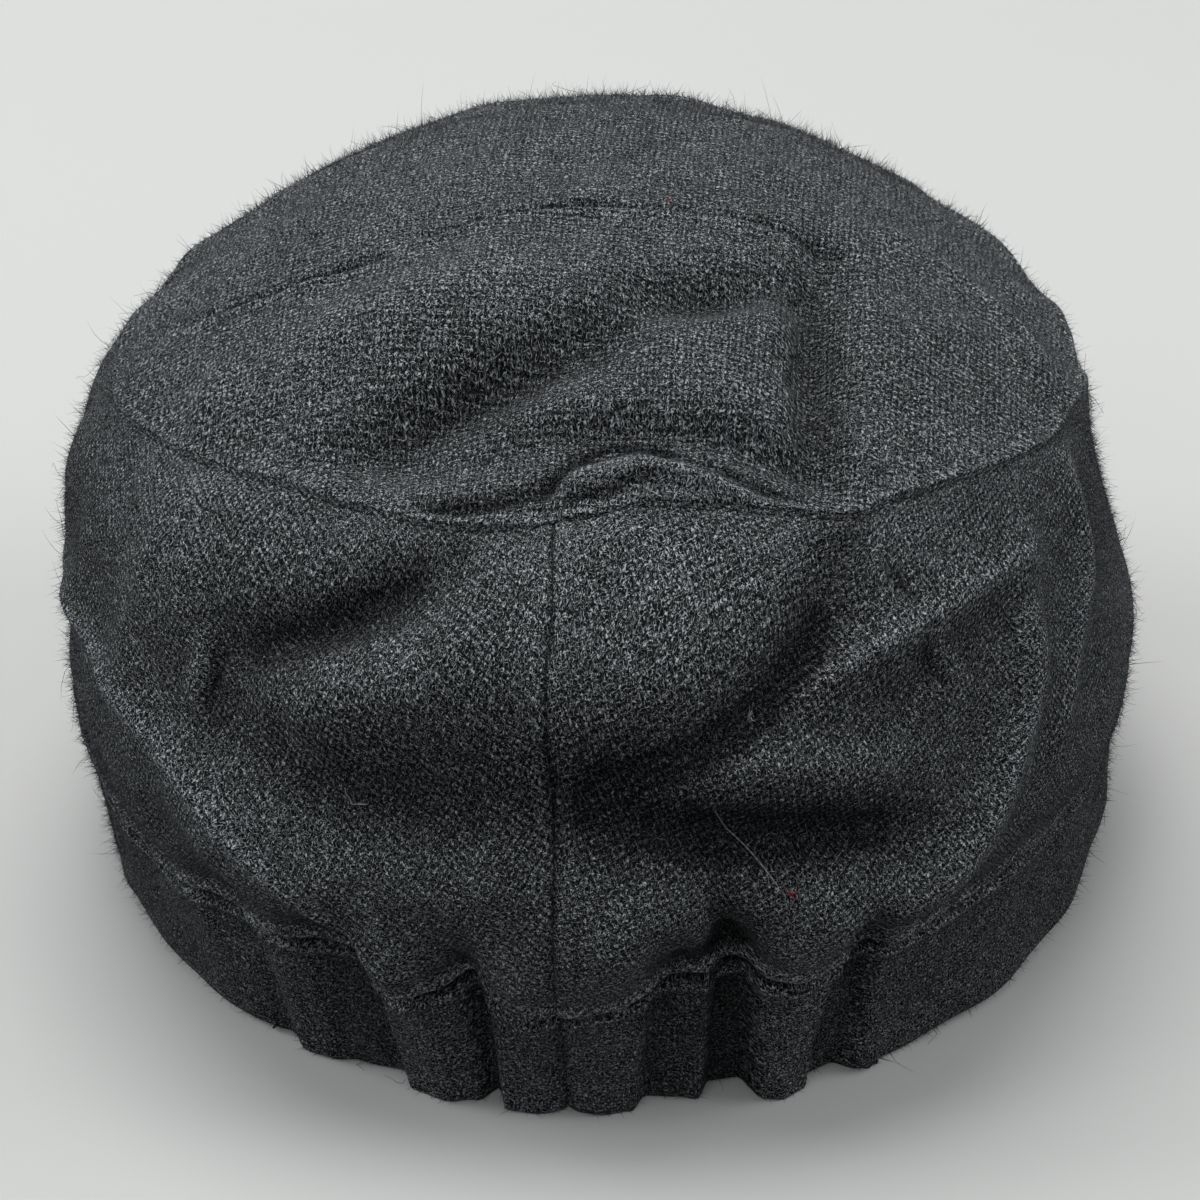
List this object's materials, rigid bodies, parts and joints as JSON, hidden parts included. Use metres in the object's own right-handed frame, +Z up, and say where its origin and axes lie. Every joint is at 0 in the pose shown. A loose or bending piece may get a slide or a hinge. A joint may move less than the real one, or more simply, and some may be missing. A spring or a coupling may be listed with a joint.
{
  "type": "cadet cap",
  "caption": "Soft wool cadet cap with a domed crown, a band gathered by elastic at the back and a short stiff peak; worn on the head, it rests by itself on a surface.",
  "frame": {"origin": "centre of the bounding box at its base, on the surface that the cap rests on", "axes": "+Z up, +Y towards the back of the cap, which faces -Y, and +X towards the wearer's left"},
  "size_m": [0.1896, 0.2532, 0.1244],
  "materials": {
    "wool_cloth": "black fulled wool in a plain weave, matt, with a short fuzzy nap"
  },
  "bodies": {
    "root": {"top_panel": "wool_cloth", "front_panel": "wool_cloth", "back_panel_left": "wool_cloth", "back_panel_right": "wool_cloth", "band": "wool_cloth", "peak": "wool_cloth"}
  },
  "joints": []
}
